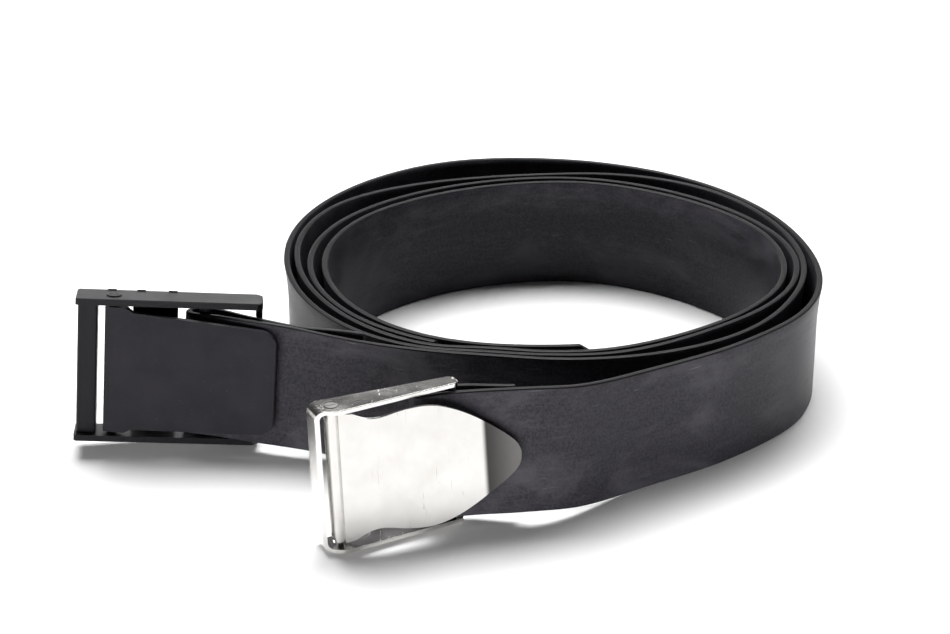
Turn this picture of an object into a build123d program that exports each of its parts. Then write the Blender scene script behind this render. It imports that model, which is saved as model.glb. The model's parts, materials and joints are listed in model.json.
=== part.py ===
"""Pair of rubber dive weight belts, rolled one inside the other and standing on edge.

One belt has a pressed stainless steel cam buckle, the other a moulded plastic one.
Millimetres, +Z up, the two buckles towards -Y. The model is drawn about the middle of
the coil and moved at the end, so that the origin is the middle of its footprint.
"""

from build123d import *
import os
from math import cos, radians, sin

# ------------------------------------------------------------------ driving dimensions
STRAP_WIDTH = 50.0
STRAP_THICKNESS = 2.5
HALF_WIDTH = STRAP_WIDTH / 2
STRAP_TRIM = 0.1                # taken off the edge the coil stands on, to make it flat
FIT = 0.06                      # radial clearance of each hinge pin
LOOP_GAP = 0.25                 # strap to the bar it wraps
STATIONS_PER_FACE = 6

# Each buckle has its own frame: +X from its mouth to the strap, +Y to its back, +Z across
# the strap, origin in the middle of the end wall's outer face.
STEEL_PLACE = Pos(-91.5, -163.9, 28.6) * Rot(Z=22.5) * Rot(X=-4.2) * Rot(Y=-0.7)
STEEL_SHEET = 1.6
STEEL_HALF_HEIGHT = 28.1
STEEL_LENGTH = 57.2
STEEL_BACK = 7.0
STEEL_FRONT_AT_MOUTH = -7.0
STEEL_FRONT_AT_STRAP = -0.6
STEEL_WALL_FRONT = -2.4
STEEL_BEND_RADIUS = 4.0
STEEL_PIN = (7.1, -0.7)
STEEL_PIN_RADIUS = 1.5
STEEL_PIN_HEAD = (2.7, 0.5)     # radius, height
STEEL_KNUCKLE_RADIUS = 2.75
STEEL_TEETH = 5
STEEL_LEVER_SHEET = 1.4
STEEL_LEVER_ANGLE = 6.8         # from the frame, held off by the strap under it
STEEL_LEVER_LENGTH = 69.4       # pin to tip
STEEL_LEVER_HALF_WIDTH = 25.4
STEEL_LEVER_RISE = 0.5
STEEL_TIP_BEND_AT = 55.0
STEEL_TIP_BEND = 5.0
STEEL_BAR = (43.7, 3.2)
STEEL_BAR_SIZE = (5.4, 2.6)
STEEL_END_BAR = (55.5, 2.4)
STEEL_END_BAR_SIZE = (1.6, 2.4)

PLASTIC_PLACE = Pos(-192.7, -77.7, 35.5) * Rot(Z=6.0) * Rot(X=-7.0) * Rot(Y=4.4)
PLASTIC_HALF_HEIGHT = 29.5
PLASTIC_LENGTH = 73.2
PLASTIC_HALF_DEPTH = 7.5
PLASTIC_WALL = 2.6
PLASTIC_MOUTH_BAR = (0.8, 8.6, -4.0, 4.6)      # x from, x to, y from, y to
PLASTIC_WEB = (22.0, 39.8)                     # x from, x to of the back web
PLASTIC_GUSSET = (5.8, 8.0)                    # reach below the flange, depth
PLASTIC_PIN = (14.7, -0.6)
PLASTIC_PIN_RADIUS = 1.75
PLASTIC_BOSS = (3.0, 0.35)                     # radius, height
PLASTIC_LEVER_ANGLE = 12.0
PLASTIC_LEVER_LENGTH = 66.6                    # pin to tip
PLASTIC_LEVER_OFFSET = 5.0                     # pin to the lever's front face
PLASTIC_LEVER_HEEL = 2.4                       # how far the lever reaches past the pin
PLASTIC_LEVER_THICKNESS = 2.6
PLASTIC_LEVER_HALF_WIDTH = 25.8
PLASTIC_LEVER_TIP_HALF_WIDTH = 21.0
PLASTIC_LEVER_EARS = 6.0
PLASTIC_LEVER_CORNER = 7.0
PLASTIC_CAM_RADIUS = 3.2
PLASTIC_BAR = (50.6, 1.2)
PLASTIC_BAR_RADIUS = 2.3
PLASTIC_LOOP_SLACK = 2.9
PLASTIC_STRAP_DROP = -1.4                      # the strap sits low in its frame

# Routes round the coil, as (angle in degrees, radius) of the strap's middle line.
STEEL_COIL = [
    (-57, 112.2), (-45, 111.4), (-30, 112.6), (-12, 110.8), (6, 108.5), (24, 109.9),
    (42, 114.2), (60, 119.8), (78, 125.0), (96, 129.6), (111, 132.0), (126, 128.9),
    (142, 123.4), (160, 117.6), (178, 113.2), (196, 111.0), (214, 110.2), (230, 109.0),
    (242, 105.3), (252, 100.8), (265, 99.6), (280, 99.4), (294, 96.8), (308, 94.9),
    (324, 96.6), (342, 99.9), (360, 100.9), (380, 99.9), (400, 99.2), (420, 100.2),
    (440, 102.0), (462, 101.0), (486, 100.7), (508, 101.9), (532, 102.8), (556, 102.2),
    (580, 101.2), (601, 99.4),
]
PLASTIC_COIL = [
    (-95, 103.2), (-80, 103.7), (-62, 104.4), (-45, 104.8), (-26, 103.7), (-6, 103.9),
    (14, 104.7), (30, 107.6), (45, 111.4), (59, 112.8), (76, 110.3), (95, 106.2),
    (110, 107.2), (127, 111.8), (143, 115.4), (160, 113.2), (180, 108.3), (198, 105.4),
    (218, 104.5), (232, 104.1), (242, 102.1), (252, 97.3), (265, 96.5), (280, 95.6),
    (294, 93.0), (308, 91.8), (324, 92.9), (342, 95.1), (362, 95.6), (382, 95.6),
    (402, 94.6), (420, 95.1), (440, 96.6), (462, 94.9), (486, 94.4), (508, 95.9),
    (532, 96.6), (556, 96.5), (580, 96.9), (598, 96.1), (611, 94.0), (623, 91.8),
    (640, 90.3),
]
# The loose stretches between buckle and coil, as (x, y, lift off the floor, lean back).
STEEL_LEAD = [
    (-9.8, -142.8, 5.2, 3.0), (2.5, -137.4, 3.6, 2.0), (14.5, -128.3, 1.8, 1.0),
    (29.0, -116.4, 0.6, 0.0), (44.5, -105.6, 0.1, 0.0),
]
PLASTIC_LEAD = [
    (-101.0, -91.8, 4.9, 8.5), (-87.0, -95.2, 3.6, 7.5), (-71.0, -96.9, 2.0, 4.5),
    (-55.5, -97.1, 0.8, 1.5), (-40.0, -98.4, 0.25, 0.2), (-24.5, -100.5, 0.05, 0.0),
]


# ----------------------------------------------------------------------------- helpers
def slab(plane_outline, low, high, axis="Z"):
    """Extrude a closed planar sketch between two levels along Z or along Y."""
    if axis == "Z":
        return Pos(0, 0, low) * extrude(plane_outline, high - low)
    turned = Rot(X=90) * extrude(plane_outline, high - low)
    return Pos(0, high, 0) * turned


def block(x_from, x_to, y_from, y_to, z_from, z_to):
    centre = Pos((x_from + x_to) / 2, (y_from + y_to) / 2, (z_from + z_to) / 2)
    return centre * Box(x_to - x_from, y_to - y_from, z_to - z_from)


def rod(radius, z_from, z_to, at=(0.0, 0.0)):
    return Pos(at[0], at[1], (z_from + z_to) / 2) * Cylinder(radius, z_to - z_from)


def both_ends(shape):
    """The shape and its mirror image across the middle of the strap."""
    return shape + mirror(shape, about=Plane.XY)


# ------------------------------------------------------------------------------ straps
def in_buckle(place, x, y, drop=0.0):
    """A strap station given in a buckle's frame: (centre, direction across the strap)."""
    centre = (place * Pos(x, y, drop)).position
    across = (place * Pos(x, y, drop + 1)).position - centre
    return centre, across


def on_lead(x, y, lift, lean):
    across = Vector(0, sin(radians(lean)), cos(radians(lean)))
    return Vector(x, y, lift) + across * HALF_WIDTH, across


def on_coil(angle, radius):
    a = radians(angle)
    return Vector(radius * cos(a), radius * sin(a), HALF_WIDTH - STRAP_TRIM), Vector(0, 0, 1)


def loop(place, bar, radius, start, end, count, drop=0.0):
    """Stations round a bar, from angle start to angle end in the buckle's frame."""
    stations = []
    for i in range(count):
        a = radians(start + (end - start) * i / (count - 1))
        stations.append(in_buckle(place, bar[0] + radius * cos(a), bar[1] + radius * sin(a), drop))
    return stations


def slopes(points, travelled):
    """Rate of change at each point, from the parabola through it and its neighbours."""
    chords = []
    for i in range(len(points) - 1):
        chords.append((points[i + 1] - points[i]) * (1 / (travelled[i + 1] - travelled[i])))
    rates = []
    for i in range(1, len(chords)):
        before = travelled[i] - travelled[i - 1]
        after = travelled[i + 1] - travelled[i]
        rates.append((chords[i - 1] * after + chords[i] * before) * (1 / (before + after)))
    return [chords[0] * 2 - rates[0]] + rates + [chords[-1] * 2 - rates[-1]]


def ribbon(stations):
    """A closed strap of constant section through the stations, its coil's edge cut flat."""
    centres = [centre for centre, _ in stations]
    travelled = [0.0]
    for a, b in zip(centres, centres[1:]):
        travelled.append(travelled[-1] + (b - a).length)
    along = slopes(centres, travelled)

    rows = []
    for side, level in [(-1, -1), (1, -1), (1, 1), (-1, 1)]:
        row = []
        for (centre, across), tangent in zip(stations, along):
            outward = tangent.cross(across).normalized() * (side * STRAP_THICKNESS / 2)
            row.append(centre + outward + across * (level * HALF_WIDTH))
        rows.append((row, slopes(row, travelled)))

    faces = []
    last = len(stations) - 1
    for first in range(0, last, STATIONS_PER_FACE):
        final = min(first + STATIONS_PER_FACE, last)
        span = slice(first, final + 1)
        edges = []
        for row, rates in rows:
            ends = [rates[first], rates[final]]
            edges.append(Edge.make_spline(row[span], tangents=ends,
                                          parameters=travelled[span], scale=False))
        for i in range(4):
            faces.append(Face.make_surface_from_curves(edges[i], edges[(i + 1) % 4]))
    for end in (0, last):
        faces.append(Face(Wire.make_polygon([row[end] for row, _ in rows], close=True)))
    return Solid(Shell(faces)) - block(-200, 200, -200, 200, -5, 0)


def steel_strap():
    radius = STEEL_BAR_SIZE[1] / 2 + LOOP_GAP + STRAP_THICKNESS / 2
    left = (STEEL_BAR[0] - STEEL_BAR_SIZE[0] / 2 + STEEL_BAR_SIZE[1] / 2, STEEL_BAR[1])
    tail = [in_buckle(STEEL_PLACE, x, y) for x, y in
            [(77.0, -5.7), (70.5, -1.9), (64.0, 2.1), (57.0, 5.3), (50.0, 6.1)]]
    turn = loop(STEEL_PLACE, left, radius, 78, 276, 8)
    front = [in_buckle(STEEL_PLACE, x, y) for x, y in
             [(49.0, 0.1), (56.5, -1.65), (64.0, -4.0), (72.2, -7.1)]]
    lead = [on_lead(*p) for p in STEEL_LEAD]
    return ribbon(tail + turn + front + lead + [on_coil(*p) for p in STEEL_COIL])


def plastic_strap():
    drop = PLASTIC_STRAP_DROP
    radius = PLASTIC_BAR_RADIUS + LOOP_GAP + STRAP_THICKNESS / 2
    tail = [on_lead(*p) for p in [(-77.0, -89.6, 3.0, 6.0), (-89.0, -89.3, 4.0, 7.5)]]
    tail += [in_buckle(PLASTIC_PLACE, x, y, drop) for x, y in
             [(90.0, -15.6), (80.0, -11.2), (70.0, -5.9), (61.5, 0.4), (55.3, 4.4), (51.2, 5.2)]]
    left = (PLASTIC_BAR[0] - PLASTIC_LOOP_SLACK, PLASTIC_BAR[1])
    turn = loop(PLASTIC_PLACE, left, radius, 94, 262, 7, drop)
    front = [in_buckle(PLASTIC_PLACE, x, y, drop) for x, y in
             [(52.0, -3.6), (60.0, -6.7), (70.0, -10.7), (79.5, -14.5)]]
    lead = [on_lead(*p) for p in PLASTIC_LEAD]
    return ribbon(tail + turn + front + lead + [on_coil(*p) for p in PLASTIC_COIL])


# ------------------------------------------------------------------------ steel buckle
def steel_frame():
    """Sheet bent to a U: an end wall at the mouth and a flange above and below."""
    outside = Pos(STEEL_LENGTH / 2, 0) * Rectangle(STEEL_LENGTH, 2 * STEEL_HALF_HEIGHT)
    outside = fillet(outside.vertices().group_by(Axis.X)[0], STEEL_BEND_RADIUS)
    inside_x = STEEL_LENGTH - STEEL_SHEET
    inside = Rectangle(inside_x, 2 * (STEEL_HALF_HEIGHT - STEEL_SHEET))
    inside = Pos(STEEL_SHEET + inside_x / 2, 0) * inside
    inside = fillet(inside.vertices().group_by(Axis.X)[0], STEEL_BEND_RADIUS - STEEL_SHEET)
    channel = slab(outside - inside, -10, STEEL_BACK, axis="Y")

    end = STEEL_LENGTH
    plan = Polyline((0, STEEL_BACK), (0, STEEL_WALL_FRONT), (7.5, STEEL_FRONT_AT_MOUTH),
                    (end, STEEL_FRONT_AT_STRAP), (end, STEEL_BACK), close=True)
    plan = make_face(plan)
    shallow = plan.vertices().sort_by(Axis.Y)[0]
    plan = fillet(shallow, 5.0)
    strap_end = plan.vertices().group_by(Axis.X)[-1]
    plan = fillet(strap_end, 3.2)
    frame = channel & slab(plan, -40, 40)
    frame -= rod(STEEL_PIN_RADIUS, -40, 40, STEEL_PIN)
    edges = frame.edges().filter_by(Axis.Z, reverse=True)
    rim = [e for e in edges if abs(abs(e.center().Z) - STEEL_HALF_HEIGHT) < 0.01
           and abs(e.center().X - STEEL_PIN[0]) > 0.5]
    return chamfer(rim, 0.2)


def steel_bar(centre, size):
    reach = STEEL_HALF_HEIGHT - STEEL_SHEET
    bar = Pos(centre[0], centre[1], 0) * Box(size[0], size[1], 2 * reach)
    return fillet(bar.edges().filter_by(Axis.Z), min(size) * 0.3)


def steel_hinge_pin():
    head_radius, head_height = STEEL_PIN_HEAD
    head = rod(head_radius, STEEL_HALF_HEIGHT, STEEL_HALF_HEIGHT + head_height, STEEL_PIN)
    head = chamfer(head.edges().group_by(Axis.Z)[-1], head_height * 0.7)
    slot_level = STEEL_HALF_HEIGHT + head_height - 0.25
    head -= block(STEEL_PIN[0] - 2, STEEL_PIN[0] + 2, STEEL_PIN[1] - 0.4, STEEL_PIN[1] + 0.4,
                  slot_level, slot_level + 1)
    shaft = rod(STEEL_PIN_RADIUS, -STEEL_HALF_HEIGHT, STEEL_HALF_HEIGHT, STEEL_PIN)
    return shaft + both_ends(head)


def steel_lever():
    """Cam lever about its own pin: +X along it, -Y outwards."""
    front = STEEL_KNUCKLE_RADIUS + 0.7
    back = front - STEEL_LEVER_SHEET
    bend = STEEL_TIP_BEND_AT
    tip = bend + (STEEL_LEVER_LENGTH - bend) * cos(radians(STEEL_TIP_BEND))
    lift = (STEEL_LEVER_LENGTH - bend) * sin(radians(STEEL_TIP_BEND))
    plate = Polyline((1.6, -front), (bend, -front), (tip, -front - lift),
                     (tip, -back - lift), (bend, -back), (6.5, -back), (2.3, 1.0),
                     (0.4, 0.5), (1.6, -back), close=True)
    low, high = -STEEL_LEVER_HALF_WIDTH, STEEL_LEVER_HALF_WIDTH
    lever = slab(make_face(plate), low, high) + rod(STEEL_KNUCKLE_RADIUS, low, high)
    for i in range(STEEL_TEETH):
        ridge = Pos(-STEEL_KNUCKLE_RADIUS, 0, 0) * Box(0.7, 0.5, high - low - 4)
        lever += Rot(Z=-40 + 20 * i) * ridge

    upper = [(6.2, 24.6), (10.5, 22.6), (15.6, 21.7), (22.5, 22.9), (28.5, 23.8),
             (34.5, 23.9), (46.7, 20.2), (58.0, 13.3), (65.0, 7.9), (68.5, 3.8)]
    lower = [(x, -y) for x, y in reversed(upper)]
    tip_point = (STEEL_LEVER_LENGTH, 0)
    side = Spline((1.6, high), *upper, tip_point, *lower, (1.6, low))
    shape = make_face(side + Polyline((1.6, low), (-9, low), (-9, high), (1.6, high)))
    lever &= slab(shape, -20, 20, axis="Y")
    lever -= rod(STEEL_PIN_RADIUS + FIT, -40, 40)
    return Pos(0, 0, STEEL_LEVER_RISE) * lever


# ---------------------------------------------------------------------- plastic buckle
def plastic_frame():
    """Moulded frame: mouth bar, two flanges, a web behind the lever and end gussets."""
    depth = PLASTIC_HALF_DEPTH
    inner = PLASTIC_HALF_HEIGHT - PLASTIC_WALL
    plan = Pos(PLASTIC_LENGTH / 2, 0) * Rectangle(PLASTIC_LENGTH, 2 * depth)
    plan = chamfer(plan.vertices().sort_by(Axis.X)[-2:], 2.2)
    plan = fillet(plan.vertices().group_by(Axis.X)[0], 1.2)
    flange = slab(plan, inner, PLASTIC_HALF_HEIGHT)
    flange = chamfer(flange.edges().group_by(Axis.Z)[-1], 0.4)
    reach, gusset_depth = PLASTIC_GUSSET
    gusset = block(PLASTIC_LENGTH - 2.6, PLASTIC_LENGTH, depth - gusset_depth, depth - 2.2,
                   inner - reach, inner)
    flange += chamfer(gusset.edges().filter_by(Axis.Y).sort_by(Axis.Z)[0], 1.4)
    for x in (12.0, 23.5, 36.0):
        flange += block(x, x + 3.4, depth - 1.2, depth - 0.4, PLASTIC_HALF_HEIGHT - 0.2,
                        PLASTIC_HALF_HEIGHT + 0.35)
    boss_radius, boss_height = PLASTIC_BOSS
    flange += rod(boss_radius, inner, PLASTIC_HALF_HEIGHT + boss_height, PLASTIC_PIN)

    x_from, x_to, y_from, y_to = PLASTIC_MOUTH_BAR
    mouth = block(x_from, x_to, y_from, y_to, -inner, inner)
    mouth = fillet(mouth.edges().filter_by(Axis.Z), 1.2)
    web = block(*PLASTIC_WEB, depth - 2.4, depth, -inner, inner)
    web = fillet(web.edges().filter_by(Axis.Z), 0.6)
    frame = both_ends(flange) + mouth + web
    return frame - rod(PLASTIC_PIN_RADIUS, -40, 40, PLASTIC_PIN)


def plastic_cross_bar():
    reach = PLASTIC_HALF_HEIGHT - PLASTIC_WALL
    return rod(PLASTIC_BAR_RADIUS, -reach, reach, PLASTIC_BAR)


def plastic_hinge_pin():
    _, boss_height = PLASTIC_BOSS
    reach = PLASTIC_HALF_HEIGHT + boss_height
    pin = rod(PLASTIC_PIN_RADIUS, -reach, reach, PLASTIC_PIN)
    return chamfer(pin.edges().filter_by(GeomType.CIRCLE), 0.25)


def plastic_lever():
    """Cam lever about its own pin: +X along it, -Y outwards."""
    front = PLASTIC_LEVER_OFFSET
    back = front - PLASTIC_LEVER_THICKNESS
    heel = PLASTIC_LEVER_HEEL
    end = PLASTIC_LEVER_LENGTH
    profile = make_face(Polyline(
        (-heel, -front), (end, -front), (end, -back), (7.5, -back), (3.0, 1.2), (-heel, 0.5),
        close=True))
    corners = profile.vertices().sort_by(Axis.X)
    profile = fillet([v for v in corners if v.Y < 1 - front], 0.8)
    wide = PLASTIC_LEVER_HALF_WIDTH
    lever = slab(profile, -wide, wide) + rod(PLASTIC_CAM_RADIUS, -wide, wide)

    ears = PLASTIC_LEVER_EARS
    tip_wide = PLASTIC_LEVER_TIP_HALF_WIDTH
    half = [(-9, 0), (-9, wide), (ears, wide), (ears + 3, wide - 1.6), (end, tip_wide),
            (end, 0)]
    face = make_face(Polyline(*half, close=True))
    corner = [v for v in face.vertices() if v.X > end - 1 and v.Y > 1]
    face = fillet(corner, PLASTIC_LEVER_CORNER)
    shape = face + mirror(face, about=Plane.XZ)
    lever &= slab(shape, -20, 20, axis="Y")
    return lever - rod(PLASTIC_PIN_RADIUS + FIT, -40, 40)


# ---------------------------------------------------------------------------- assembly
def about_pin(pin, angle, lever):
    return Pos(pin[0], pin[1], 0) * Rot(Z=-angle) * lever


NODES = {
    "steel_strap": steel_strap(),
    "steel_frame": STEEL_PLACE * steel_frame(),
    "steel_cross_bar": STEEL_PLACE * steel_bar(STEEL_BAR, STEEL_BAR_SIZE),
    "steel_end_bar": STEEL_PLACE * steel_bar(STEEL_END_BAR, STEEL_END_BAR_SIZE),
    "steel_hinge_pin": STEEL_PLACE * steel_hinge_pin(),
    "steel_lever": STEEL_PLACE * about_pin(STEEL_PIN, STEEL_LEVER_ANGLE, steel_lever()),
    "plastic_strap": plastic_strap(),
    "plastic_frame": PLASTIC_PLACE * plastic_frame(),
    "plastic_cross_bar": PLASTIC_PLACE * plastic_cross_bar(),
    "plastic_hinge_pin": PLASTIC_PLACE * plastic_hinge_pin(),
    "plastic_lever": PLASTIC_PLACE * about_pin(PLASTIC_PIN, PLASTIC_LEVER_ANGLE,
                                               plastic_lever()),
}

boxes = [shape.bounding_box() for shape in NODES.values()]
ORIGIN = Vector((min(b.min.X for b in boxes) + max(b.max.X for b in boxes)) / 2,
                (min(b.min.Y for b in boxes) + max(b.max.Y for b in boxes)) / 2,
                min(b.min.Z for b in boxes))

os.makedirs("parts", exist_ok=True)
for name, shape in NODES.items():
    export_step(Pos(-ORIGIN) * shape, f"parts/{name}.step")
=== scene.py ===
"""Two rubber dive weight belts rolled together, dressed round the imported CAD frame."""

import json
import math

import bmesh
import bpy
import numpy as np
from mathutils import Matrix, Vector


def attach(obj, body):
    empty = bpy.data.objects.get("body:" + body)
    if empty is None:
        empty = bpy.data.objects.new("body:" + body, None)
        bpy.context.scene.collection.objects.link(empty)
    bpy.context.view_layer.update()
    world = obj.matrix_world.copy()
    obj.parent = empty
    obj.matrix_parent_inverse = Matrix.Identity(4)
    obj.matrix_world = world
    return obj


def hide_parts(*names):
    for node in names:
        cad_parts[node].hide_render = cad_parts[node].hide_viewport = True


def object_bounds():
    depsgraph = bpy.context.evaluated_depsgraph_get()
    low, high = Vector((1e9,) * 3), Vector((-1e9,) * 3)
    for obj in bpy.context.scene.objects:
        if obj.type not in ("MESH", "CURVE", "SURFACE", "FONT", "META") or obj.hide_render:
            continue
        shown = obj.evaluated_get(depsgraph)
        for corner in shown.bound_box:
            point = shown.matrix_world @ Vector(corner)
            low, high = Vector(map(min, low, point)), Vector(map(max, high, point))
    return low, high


MM = 0.001

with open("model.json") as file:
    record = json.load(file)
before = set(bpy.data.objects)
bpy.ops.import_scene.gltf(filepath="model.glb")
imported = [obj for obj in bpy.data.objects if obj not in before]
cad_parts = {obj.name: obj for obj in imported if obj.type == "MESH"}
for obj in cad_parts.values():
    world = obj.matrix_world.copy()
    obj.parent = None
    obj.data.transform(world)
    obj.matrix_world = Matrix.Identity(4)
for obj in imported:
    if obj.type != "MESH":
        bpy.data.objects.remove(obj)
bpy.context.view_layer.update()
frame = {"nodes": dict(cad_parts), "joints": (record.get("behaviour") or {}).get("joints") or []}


# ----------------------------------------------------------------- straps read from the CAD
STRAP_WIDTH = 50 * MM
STRAP_THICKNESS = 2.5 * MM
EDGE_RADIUS = 0.6 * MM
STATION_STEP = 1.5 * MM
SMOOTHING_STATIONS = 1.2
SAME_POINT = 0.002 * MM     # vertices closer than this are one
SHARP_EDGE = math.radians(50)
SHORTEST_GAP = 0.05 * MM    # between two points that a cubic goes through
PARTNER_REACH = 22 * MM     # how far along a row its partner point can be


def row_length(points):
    return np.linalg.norm(np.diff(points, axis=0), axis=1).sum()


def long_edges(node):
    """The four long edges of a CAD strap, as point arrays that start at the same end."""
    mesh = bmesh.new()
    mesh.from_mesh(frame["nodes"][node].data)
    bmesh.ops.remove_doubles(mesh, verts=mesh.verts, dist=SAME_POINT)
    sharp = {}
    for edge in mesh.edges:
        if len(edge.link_faces) == 2 and edge.calc_face_angle(0) > SHARP_EDGE:
            for vert in edge.verts:
                sharp.setdefault(vert, []).append(edge.other_vert(vert))
    corners = [v for v, linked in sharp.items() if len(linked) == 3]
    runs = []
    for corner in corners:
        for step in sharp[corner]:
            path = [corner, step]
            while len(sharp[path[-1]]) == 2:
                path.append(next(v for v in sharp[path[-1]] if v is not path[-2]))
            runs.append((corner, path[-1], np.array([v.co for v in path])))
    across_cap = [run for run in runs if row_length(run[2]) < 2 * STRAP_WIDTH]
    along = [run for run in runs if row_length(run[2]) > 10 * STRAP_WIDTH]
    cap = {corners[0]}
    for _ in range(2):
        cap |= {end for start, end, _ in across_cap if start in cap}
    rows = []
    for low in sorted(cap, key=lambda v: v.co.z)[:2]:
        high = next(end for start, end, points in across_cap
                    if start is low and row_length(points) > 0.5 * STRAP_WIDTH)
        for vert in (low, high):
            rows.append(next(points for start, _, points in along if start is vert))
    mesh.free()
    return rows


def resampled(points, step):
    """Points at even steps along a row, on a smooth cubic through its vertices."""
    gaps = np.linalg.norm(np.diff(points, axis=0), axis=1)
    points = points[np.concatenate([[True], gaps > SHORTEST_GAP])]
    gaps = np.linalg.norm(np.diff(points, axis=0), axis=1)
    at = np.concatenate([[0], np.cumsum(gaps)])
    slope = np.gradient(points, at, axis=0)
    wanted = np.linspace(0, at[-1], int(at[-1] / step) + 1)
    i = np.clip(np.searchsorted(at, wanted) - 1, 0, len(at) - 2)
    width = (at[i + 1] - at[i])[:, None]
    t = (wanted - at[i])[:, None] / width
    return ((2 * t**3 - 3 * t**2 + 1) * points[i]
            + (t**3 - 2 * t**2 + t) * width * slope[i]
            + (3 * t**2 - 2 * t**3) * points[i + 1]
            + (t**3 - t**2) * width * slope[i + 1])


def partners(row, other):
    """For each point of a row, the nearest point of another row at about the same place."""
    window = int(PARTNER_REACH / STATION_STEP)
    found = np.empty_like(row)
    for i, point in enumerate(row):
        middle = int(i * (len(other) - 1) / (len(row) - 1))
        near = other[max(0, middle - window):middle + window + 1]
        found[i] = near[np.argmin(((near - point) ** 2).sum(axis=1))]
    return found


def smoothed(values, spread):
    """Gaussian smoothing along a row that leaves both ends where they are."""
    reach = int(3 * spread) + 1
    weights = np.exp(-0.5 * (np.arange(-reach, reach + 1) / spread) ** 2)
    weights /= weights.sum()
    head = 2 * values[0] - values[reach:0:-1]
    tail = 2 * values[-1] - values[-2:-reach - 2:-1]
    padded = np.concatenate([head, values, tail])
    return np.stack([np.convolve(padded[:, k], weights, "valid") for k in range(3)], axis=1)


def unit(vectors):
    return vectors / np.linalg.norm(vectors, axis=-1, keepdims=True)


def strap_spine(node):
    """Middle line of a CAD strap's lower and upper edges, at even stations."""
    low_a, high_a, low_b, high_b = [resampled(r, STATION_STEP) for r in long_edges(node)]
    low = (low_a + partners(low_a, low_b)) / 2
    high = (partners(low_a, high_a) + partners(low_a, high_b)) / 2
    return smoothed(low, SMOOTHING_STATIONS), smoothed(high, SMOOTHING_STATIONS)


# ------------------------------------------------------------------- relaxed shape of the roll
# The coil's middle, from the middle of the whole footprint.
COIL_CENTRE = np.array([42.34, 19.44]) * MM
FLARE = 1.6 * MM            # how far the upper edges lean out at the roll's sides
FLARE_FROM = 30 * MM        # height where that starts
ROLL_RADIUS = 140 * MM      # past this a strap is on its way to a buckle, and doesn't lean
FREE_FADE = 12 * MM         # the flare fades out over this much before that radius
RIPPLE = 0.12 * MM
RIPPLES_ROUND = 5
RIPPLE_PHASE = 0.8


def relaxed(points):
    """Rubber on edge spreads a little at the top where nothing holds it in."""
    out = points.copy()
    rel = points[..., :2] - COIL_CENTRE
    radius = np.linalg.norm(rel, axis=-1)
    direction = rel / radius[..., None]
    height = np.clip((points[..., 2] - FLARE_FROM) / (STRAP_WIDTH - FLARE_FROM), 0, 1.2)
    side = np.abs(direction[..., 0]) ** 1.5
    free = np.clip((ROLL_RADIUS - radius) / FREE_FADE, 0, 1)
    angle = np.arctan2(rel[..., 1], rel[..., 0])
    ripple = RIPPLE * np.sin(RIPPLES_ROUND * angle + RIPPLE_PHASE) * height
    out[..., :2] += direction * ((FLARE * height**2 * side + ripple) * free)[..., None]
    return out


END_ROUND = 0.45 * MM       # at a strap's cut ends
END_NARROWING = 0.02        # of the width, at the very end
CORNER_CUT_FROM = 14 * MM   # from the free end, where the corner cut starts to draw back
CORNER_STEPS = 3
WIDE_SIDE_STEPS = 12
NARROW_SIDE_STEPS = 2


def strap_section():
    """Rounded rectangle round the strap: (through its thickness, up its width) pairs."""
    half = STRAP_THICKNESS / 2 - EDGE_RADIUS
    outline = []
    for quadrant, (n, h) in enumerate([(half, STRAP_WIDTH - EDGE_RADIUS),
                                       (-half, STRAP_WIDTH - EDGE_RADIUS),
                                       (-half, EDGE_RADIUS), (half, EDGE_RADIUS)]):
        for step in range(CORNER_STEPS + 1):
            a = math.radians(90 * quadrant + 90 / CORNER_STEPS * step)
            outline.append((n + EDGE_RADIUS * math.cos(a), h + EDGE_RADIUS * math.sin(a)))
        side_steps = WIDE_SIDE_STEPS if quadrant % 2 else NARROW_SIDE_STEPS
        here = outline[-1]
        following = [(-half, STRAP_WIDTH), (-STRAP_THICKNESS / 2, EDGE_RADIUS), (half, 0),
                     (STRAP_THICKNESS / 2, STRAP_WIDTH - EDGE_RADIUS)][quadrant]
        for step in range(1, side_steps):
            t = step / side_steps
            outline.append((here[0] + (following[0] - here[0]) * t,
                            here[1] + (following[1] - here[1]) * t))
    return np.array(outline)


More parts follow.
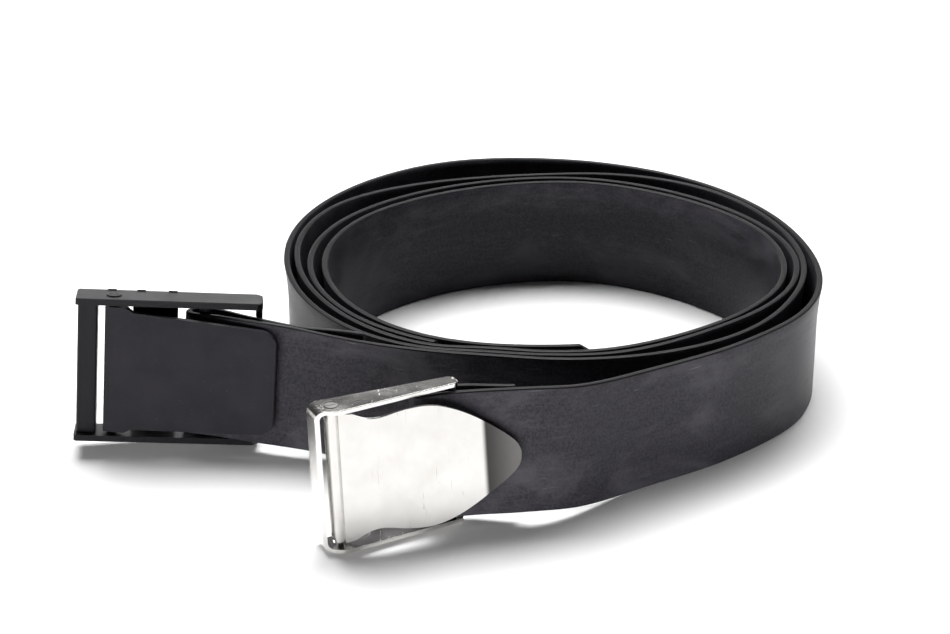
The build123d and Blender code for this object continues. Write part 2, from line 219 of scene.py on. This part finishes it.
def build_strap(name, node, corner_cut):
    """A strap with rounded edges, following its CAD node; the free end's corner is trimmed.

    corner_cut is (length along the strap, height down from its upper edge)."""
    low, high = strap_spine(node)
    if np.linalg.norm(low[0, :2] - COIL_CENTRE) < np.linalg.norm(low[-1, :2] - COIL_CENTRE):
        low, high = low[::-1], high[::-1]
    middle = (low + high) / 2
    at = np.concatenate([[0], np.cumsum(np.linalg.norm(np.diff(middle, axis=0), axis=1))])
    total = at[-1]
    across = unit(high - low)
    width = np.linalg.norm(high - low, axis=1)
    outward = unit(np.cross(np.gradient(middle, at, axis=0), across))

    stations = np.concatenate([[0, END_ROUND], at[1:-1], [total - END_ROUND, total]])
    section = strap_section()
    shrink = np.ones(len(stations))
    shrink[[0, -1]] = 1 - END_ROUND / (STRAP_THICKNESS / 2)
    cut_length, cut_height = corner_cut
    cut = np.clip((section[:, 1] - STRAP_WIDTH + cut_height) / cut_height, 0, 1) * cut_length
    cut_from = total - CORNER_CUT_FROM
    tail = np.clip((stations - cut_from) / (total - cut_from), 0, 1)
    place = stations[:, None] - tail[:, None] * cut[None, :]

    def along(values):
        return np.stack([np.interp(place, at, values[:, k]) for k in range(3)], axis=-1)

    centre_h = STRAP_WIDTH / 2
    h = (section[:, 1] - centre_h)[None, :] * (1 - (1 - shrink[:, None]) * END_NARROWING)
    h = h * (np.interp(place, at, width) / STRAP_WIDTH)
    n = section[:, 0][None, :] * shrink[:, None]
    points = along(middle) + along(across) * h[..., None] + along(outward) * n[..., None]
    points = relaxed(points)

    count, around = points.shape[:2]
    verts = points.reshape(-1, 3)
    faces = []
    for i in range(count - 1):
        for j in range(around):
            k = (j + 1) % around
            faces.append((i * around + j, i * around + k,
                          (i + 1) * around + k, (i + 1) * around + j))
    faces.append(tuple(range(around))[::-1])
    faces.append(tuple((count - 1) * around + j for j in range(around)))
    mesh = bpy.data.meshes.new(name)
    mesh.from_pydata([tuple(v) for v in verts], [], faces)
    mesh.validate()

    girth = np.concatenate([[0], np.cumsum(np.linalg.norm(
        np.diff(np.concatenate([section, section[:1]]), axis=0), axis=1))])
    layer = mesh.uv_layers.new(name="lengthwise")
    uv = np.zeros((len(mesh.loops), 2))
    for polygon in mesh.polygons:
        on_wall = len(polygon.vertices) == 4
        js = [v % around for v in polygon.vertices]
        wraps = on_wall and max(js) - min(js) > 1
        for loop, v, j in zip(polygon.loop_indices, polygon.vertices, js):
            across_at = girth[around] if wraps and j == 0 else girth[j]
            uv[loop] = (stations[v // around], across_at)
    layer.data.foreach_set("uv", uv.ravel())
    mesh.polygons.foreach_set("use_smooth", [True] * len(mesh.polygons))

    obj = bpy.data.objects.new(name, mesh)
    bpy.context.scene.collection.objects.link(obj)
    mesh_data = bmesh.new()
    mesh_data.from_mesh(mesh)
    bmesh.ops.recalc_face_normals(mesh_data, faces=mesh_data.faces)
    mesh_data.to_mesh(mesh)
    mesh_data.free()
    return obj


# ------------------------------------------------------------------------------ materials
# Colours are linear, and each IOR is lower than the real 1.5, to be as dark as the photo.
RUBBER_IOR = 1.24
RUBBER_DARK, RUBBER_LIGHT = (0.0115, 0.0108, 0.0135), (0.0150, 0.0141, 0.0175)
# Painted shade: the strap's upper edge gets a darker base colour than its sides.
UPPER_EDGE_PAINTED_SHADE = (0.0050, 0.0048, 0.0055)
SHADED_EDGE_GIRTH = 2.7 * MM   # of the way round the section, its cut upper edge, which gets painted shade
SHADED_EDGE_FADE = 0.5 * MM
STEEL_CLEAN, STEEL_SMEARED = (0.80, 0.79, 0.77), (0.755, 0.735, 0.71)
STEEL_SPECK = (0.40, 0.38, 0.36)
# Painted reflection: the steel lever's bent tip is coloured dark past the bend, a little less
# towards its end.
TIP_PAINTED_REFLECTION = (0.050, 0.048, 0.047)
TIP_BEND_AT = 0.795         # of the steel lever's length, where its tip turns up
TIP_BEND_SOFTNESS = (-0.6 * MM, 1.6 * MM)
PLASTIC_PLAIN, PLASTIC_RUBBED = (1, 0.94, 1.2), (1.5, 1.42, 1.75)   # times the piece's tone
PLASTIC_SPECK = (0.12, 0.12, 0.12)


def toned(colour, tone):
    return tuple(part * tone for part in colour)


class Nodes:
    """Short ways to add nodes to one material."""

    def __init__(self, name):
        self.material = bpy.data.materials.new(name)
        self.material.use_nodes = True
        self.tree = self.material.node_tree
        self.shader = self.tree.nodes["Principled BSDF"]

    def link(self, source, target):
        self.tree.links.new(source, target)

    def add(self, kind, **settings):
        node = self.tree.nodes.new(kind)
        for key, value in settings.items():
            setattr(node, key, value)
        return node

    def coordinates(self, source="Object", scale=(1, 1, 1), rotation=(0, 0, 0)):
        mapping = self.add("ShaderNodeMapping")
        mapping.inputs["Scale"].default_value = scale
        mapping.inputs["Rotation"].default_value = rotation
        if source == "Object":
            self.link(self.add("ShaderNodeTexCoord").outputs["Object"], mapping.inputs["Vector"])
        else:
            self.link(self.add("ShaderNodeUVMap", uv_map=source).outputs["UV"],
                      mapping.inputs["Vector"])
        return mapping.outputs["Vector"]

    def noise(self, vector, scale, detail=4, roughness=0.55, distortion=0.0):
        node = self.add("ShaderNodeTexNoise")
        node.inputs["Scale"].default_value = scale
        node.inputs["Detail"].default_value = detail
        node.inputs["Roughness"].default_value = roughness
        node.inputs["Distortion"].default_value = distortion
        self.link(vector, node.inputs["Vector"])
        return node.outputs["Fac"]

    def between(self, value, low, high, out_low=0.0, out_high=1.0):
        node = self.add("ShaderNodeMapRange", interpolation_type="SMOOTHSTEP")
        for key, number in (("From Min", low), ("From Max", high),
                            ("To Min", out_low), ("To Max", out_high)):
            node.inputs[key].default_value = number
        self.link(value, node.inputs["Value"])
        return node.outputs["Result"]

    def maths(self, operation, a, b):
        node = self.add("ShaderNodeMath", operation=operation)
        for socket, value in zip(node.inputs, (a, b)):
            if isinstance(value, (int, float)):
                socket.default_value = value
            else:
                self.link(value, socket)
        return node.outputs["Value"]

    def blend(self, factor, a, b):
        node = self.add("ShaderNodeMix", data_type="RGBA")
        self.link(factor, node.inputs["Factor"])
        for key, value in (("A", a), ("B", b)):
            socket = next(s for s in node.inputs if s.name == key and s.type == "RGBA")
            if isinstance(value, tuple):
                socket.default_value = (*value, 1)
            else:
                self.link(value, socket)
        return next(s for s in node.outputs if s.type == "RGBA")

    def bump(self, height, distance, strength, after=None):
        node = self.add("ShaderNodeBump")
        node.inputs["Distance"].default_value = distance
        node.inputs["Strength"].default_value = strength
        self.link(height, node.inputs["Height"])
        if after is not None:
            self.link(after, node.inputs["Normal"])
        return node.outputs["Normal"]

    def finish(self, **sockets):
        for key, value in sockets.items():
            socket = self.shader.inputs[key.replace("_", " ")]
            if hasattr(value, "is_output"):
                self.link(value, socket)
            else:
                socket.default_value = value
        return self.material


def rubber(name, seed):
    """Extruded black rubber: hazy handling marks, faint lengthwise streaks and dust."""
    n = Nodes(name)
    along = n.coordinates("lengthwise", (14, 700, 1))
    smeared = n.coordinates("lengthwise", (22, 42, 1), (0, 0, seed))
    wiped = n.coordinates("lengthwise", (60, 420, 1), (0, 0, 0.25 - seed))
    scored = n.coordinates("lengthwise", (75, 1500, 1), (0, 0, seed - 0.6))
    solid = n.coordinates()
    streak = n.noise(along, 1.0, 3)
    haze = n.between(n.noise(smeared, 1.0, 6, 0.64, 0.5), 0.44, 0.68)
    wipe = n.between(n.noise(wiped, 1.0, 5, 0.65, 0.4), 0.52, 0.78)
    score = n.between(n.noise(scored, 1.0, 2, 0.5), 0.725, 0.76)
    mottle = n.between(n.noise(solid, 1000, 4, 0.75), 0.38, 0.64)
    dust = n.between(n.noise(solid, 1100, 2, 0.7), 0.765, 0.82)
    grain = n.noise(solid, 2600, 2)
    colour = n.blend(n.between(streak, 0.3, 0.7), RUBBER_DARK, RUBBER_LIGHT)
    # Each kind of mark, how much of it shows, and its colour, one over the other.
    for mark, shown, mark_colour in ((mottle, 0.65, (0.035, 0.0333, 0.0391)),
                                     (haze, 0.75, (0.050, 0.0478, 0.0545)),
                                     (wipe, 0.20, (0.080, 0.078, 0.082)),
                                     (score, 0.22, (0.30, 0.29, 0.29)),
                                     (dust, 0.45, (0.16, 0.155, 0.15))):
        colour = n.blend(n.maths("MULTIPLY", mark, shown), colour, mark_colour)
    # Painted shade: the first few millimetres round the section, the strap's upper edge, are
    # coloured darker.
    up_width = n.add("ShaderNodeSeparateXYZ")
    n.link(n.coordinates("lengthwise"), up_width.inputs[0])
    on_wall = n.between(up_width.outputs["Y"], SHADED_EDGE_GIRTH, SHADED_EDGE_GIRTH + SHADED_EDGE_FADE)
    colour = n.blend(on_wall, UPPER_EDGE_PAINTED_SHADE, colour)
    rough = n.maths("ADD", n.between(haze, 0.0, 1.0, 0.38, 0.48),
                    n.maths("MULTIPLY", wipe, 0.10))
    normal = n.bump(streak, 0.02 * MM, 0.4)
    normal = n.bump(grain, 0.03 * MM, 0.5, normal)
    return n.finish(Base_Color=colour, Roughness=rough, Normal=normal, IOR=RUBBER_IOR)


def tip_of(node, joint):
    """Along a lever, from its pin: (unit vector, level of the pin, length to the tip)."""
    pin = np.array(next(j["pos_m"] for j in frame["joints"] if j["name"] == joint))
    points = np.array([v.co for v in frame["nodes"][node].data.vertices])
    tip = points[np.argmax(np.linalg.norm(points - pin, axis=1))]
    along = unit(tip - pin)
    return along, float(pin @ along), float(np.linalg.norm(tip - pin))


def steel(name, roughness, tone, bent_tip=None):
    """Tumbled stainless steel with fine random scratches and fingerprints.

    Past the bend of bent_tip, from tip_of, it is painted dark: in the photo the tip seems to
    reflect something dark, which isn't in this scene."""
    n = Nodes(name)
    solid = n.coordinates()
    lengthwise = n.coordinates("Object", (40, 160, 1500), (0.1, 0.0, 0.39))
    crossing = n.coordinates("Object", (900, 160, 60), (0.0, 0.5, 0.39))
    brushed = n.noise(lengthwise, 1.0, 3)
    scratch = n.between(n.noise(crossing, 1.0, 3, 0.6), 0.66, 0.72)
    smear = n.noise(solid, 95, 5, 0.6)
    speck = n.between(n.noise(solid, 1300, 2), 0.70, 0.78)
    colour = n.blend(n.between(smear, 0.3, 0.75), toned(STEEL_CLEAN, tone),
                     toned(STEEL_SMEARED, tone))
    colour = n.blend(n.maths("MULTIPLY", speck, 0.35), colour, STEEL_SPECK)
    if bent_tip:
        along, pin_level, length = bent_tip
        dot = n.add("ShaderNodeVectorMath", operation="DOT_PRODUCT")
        n.link(solid, dot.inputs[0])
        dot.inputs[1].default_value = along
        bend = pin_level + TIP_BEND_AT * length
        before, after = TIP_BEND_SOFTNESS
        past = n.between(dot.outputs["Value"], bend + before, bend + after)
        fading = n.between(dot.outputs["Value"], bend, pin_level + length, 1.0, 0.86)
        # Painted reflection: the dark colour laid over the tip past the bend.
        colour = n.blend(n.maths("MULTIPLY", past, fading), colour, TIP_PAINTED_REFLECTION)
    rough = n.maths("ADD", n.between(smear, 0.25, 0.8, roughness * 0.8, roughness * 1.3),
                    n.maths("MULTIPLY", scratch, 0.15))
    normal = n.bump(brushed, 0.012 * MM, 0.35)
    normal = n.bump(scratch, 0.015 * MM, 0.2, normal)
    return n.finish(Base_Color=colour, Roughness=rough, Normal=normal, Metallic=1.0)


def moulded(name, tone, grain_size, ior):
    """Black moulded plastic with a fine spark-eroded grain, shinier where it is rubbed."""
    n = Nodes(name)
    solid = n.coordinates()
    grain = n.noise(solid, grain_size, 3, 0.6)
    cloud = n.noise(solid, 60, 4)
    speck = n.between(n.noise(solid, 1500, 2), 0.71, 0.77)
    colour = n.blend(n.between(cloud, 0.3, 0.7), toned(PLASTIC_PLAIN, tone),
                     toned(PLASTIC_RUBBED, tone))
    colour = n.blend(n.maths("MULTIPLY", speck, 0.3), colour, PLASTIC_SPECK)
    rough = n.between(cloud, 0.25, 0.75, 0.36, 0.46)
    normal = n.bump(grain, 0.08 * MM, 0.7)
    return n.finish(Base_Color=colour, Roughness=rough, Normal=normal, IOR=ior)


SOFTENED_EDGE = math.radians(32)    # edges sharper than this are rounded


def dress(node, material, edge_width):
    """Give a CAD node its material and soft edges."""
    obj = frame["nodes"][node]
    obj.data.materials.clear()
    obj.data.materials.append(material)
    weld = obj.modifiers.new("weld", "WELD")
    weld.merge_threshold = SAME_POINT
    bevel = obj.modifiers.new("soft edges", "BEVEL")
    bevel.width = edge_width
    bevel.segments = 3
    bevel.limit_method = "ANGLE"
    bevel.angle_limit = SOFTENED_EDGE
    obj.modifiers.new("normals", "WEIGHTED_NORMAL")


# --------------------------------------------------------------------------------- pieces
# Each belt, its free end's corner cut, and the turn of its rubber's marks.
for belt, corner_cut, seed in (("steel", (1.2 * MM, 1.0 * MM), 0.02),
                               ("plastic", (9.0 * MM, 5.6 * MM), 0.05)):
    node = f"{belt}_strap"
    strap = build_strap(f"{belt}_belt_rubber_strap", node, corner_cut)
    strap.data.materials.append(rubber(f"{belt} belt rubber", seed))
    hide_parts(node)
    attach(strap, f"{belt}_belt")

lever_tip = tip_of("steel_lever", "steel_lever_hinge")
for node, material, edge_width in (
        ("steel_frame", steel("pressed steel", 0.20, 1.06), 0.35 * MM),
        ("steel_cross_bar", steel("steel bar", 0.30, 0.85), 0.2 * MM),
        ("steel_end_bar", steel("thin steel bar", 0.30, 0.85), 0.2 * MM),
        ("steel_hinge_pin", steel("peened pin", 0.42, 0.22), 0.15 * MM),
        ("steel_lever", steel("polished lever", 0.20, 0.94, lever_tip), 0.35 * MM),
        ("plastic_frame", moulded("frame plastic", 0.0035, 1100, 1.33), 0.35 * MM),
        ("plastic_cross_bar", moulded("bar plastic", 0.005, 1500, 1.31), 0.2 * MM),
        ("plastic_hinge_pin", moulded("pin plastic", 0.005, 1500, 1.31), 0.15 * MM),
        ("plastic_lever", moulded("lever plastic", 0.0080, 1300, 1.27), 0.5 * MM)):
    dress(node, material, edge_width)


# ---------------------------------------------------------------------- floor, light, camera
def area_light(name, at, aim, size, power):
    """A white rectangular light; places and sizes in metres, power in watts."""
    data = bpy.data.lights.new(name, "AREA")
    data.shape = "RECTANGLE"
    data.size, data.size_y = size
    data.energy = power
    obj = bpy.data.objects.new(name, data)
    obj.location = at
    obj.rotation_euler = (Vector(aim) - Vector(at)).to_track_quat("-Z", "Y").to_euler()
    bpy.context.scene.collection.objects.link(obj)
    return obj


FLOOR_REACH = 12.0
FLOOR_GAP = 0.15 * MM       # so that the floor and the lower edges don't share a plane
low_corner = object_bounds()[0]
floor_mesh = bpy.data.meshes.new("floor")
floor_mesh.from_pydata([(x * FLOOR_REACH, y * FLOOR_REACH, 0)
                        for x, y in ((-1, -1), (1, -1), (1, 1), (-1, 1))], [], [(0, 1, 2, 3)])
floor = bpy.data.objects.new("floor", floor_mesh)
floor.location.z = low_corner[2] - FLOOR_GAP
bpy.context.scene.collection.objects.link(floor)
f = Nodes("white table")
sheen = f.noise(f.coordinates(), 3.0, 2)
floor_mesh.materials.append(f.finish(
    Base_Color=f.blend(f.between(sheen, 0.2, 0.8), (0.90, 0.90, 0.90), (0.92, 0.92, 0.92)),
    Roughness=f.between(sheen, 0.2, 0.8, 0.30, 0.36)))

area_light("overhead", (-0.1, 0.62, 1.30), (-0.05, 0.0, 0), (1.5, 0.95), 51)
area_light("backdrop glow", (0, 2.3, 0.27), (0, 0, 0.05), (3.2, 0.4), 10)
low_front = area_light("low front", (-0.25, -1.20, 0.10), (0.0, -0.1, 0.03), (1.5, 0.13), 24)
low_front.visible_glossy = False    # it lifts the shade, but isn't mirrored in anything
# These face away from the object, down at the table, which so stays white a long way round.
SURROUND_RADIUS = 2.0
SURROUND_HEIGHT = 1.6
SURROUND_AIM_RADIUS = 3.35
for number, turn in enumerate((-150, -115, -90, -65, -30, 0, 180)):
    x, y = math.cos(math.radians(turn)), math.sin(math.radians(turn))
    area_light(f"surround {number}",
               (SURROUND_RADIUS * x, SURROUND_RADIUS * y, SURROUND_HEIGHT),
               (SURROUND_AIM_RADIUS * x, SURROUND_AIM_RADIUS * y, 0), (1.6, 1.0), 60)

WORLD_STRENGTH = 0.035
world = bpy.data.worlds.new("studio")
world.use_nodes = True
background = world.node_tree.nodes["Background"]
background.inputs["Color"].default_value = (1, 1, 1, 1)
background.inputs["Strength"].default_value = WORLD_STRENGTH
bpy.context.scene.world = world
bpy.context.scene.view_settings.view_transform = "Standard"

# The camera stands this far from the coil's middle, level across, looking down.
CAMERA_FROM_COIL = np.array([-34.0, -888.0, 405.6]) * MM
CAMERA_DOWN = math.radians(23.33)
camera_data = bpy.data.cameras.new("camera")
camera_data.lens = 85
camera_data.sensor_width = 36
camera = bpy.data.objects.new("camera", camera_data)
camera.location = (*(COIL_CENTRE + CAMERA_FROM_COIL[:2]), CAMERA_FROM_COIL[2])
camera.rotation_euler = (math.pi / 2 - CAMERA_DOWN, 0, 0)
bpy.context.scene.collection.objects.link(camera)
bpy.context.scene.camera = camera
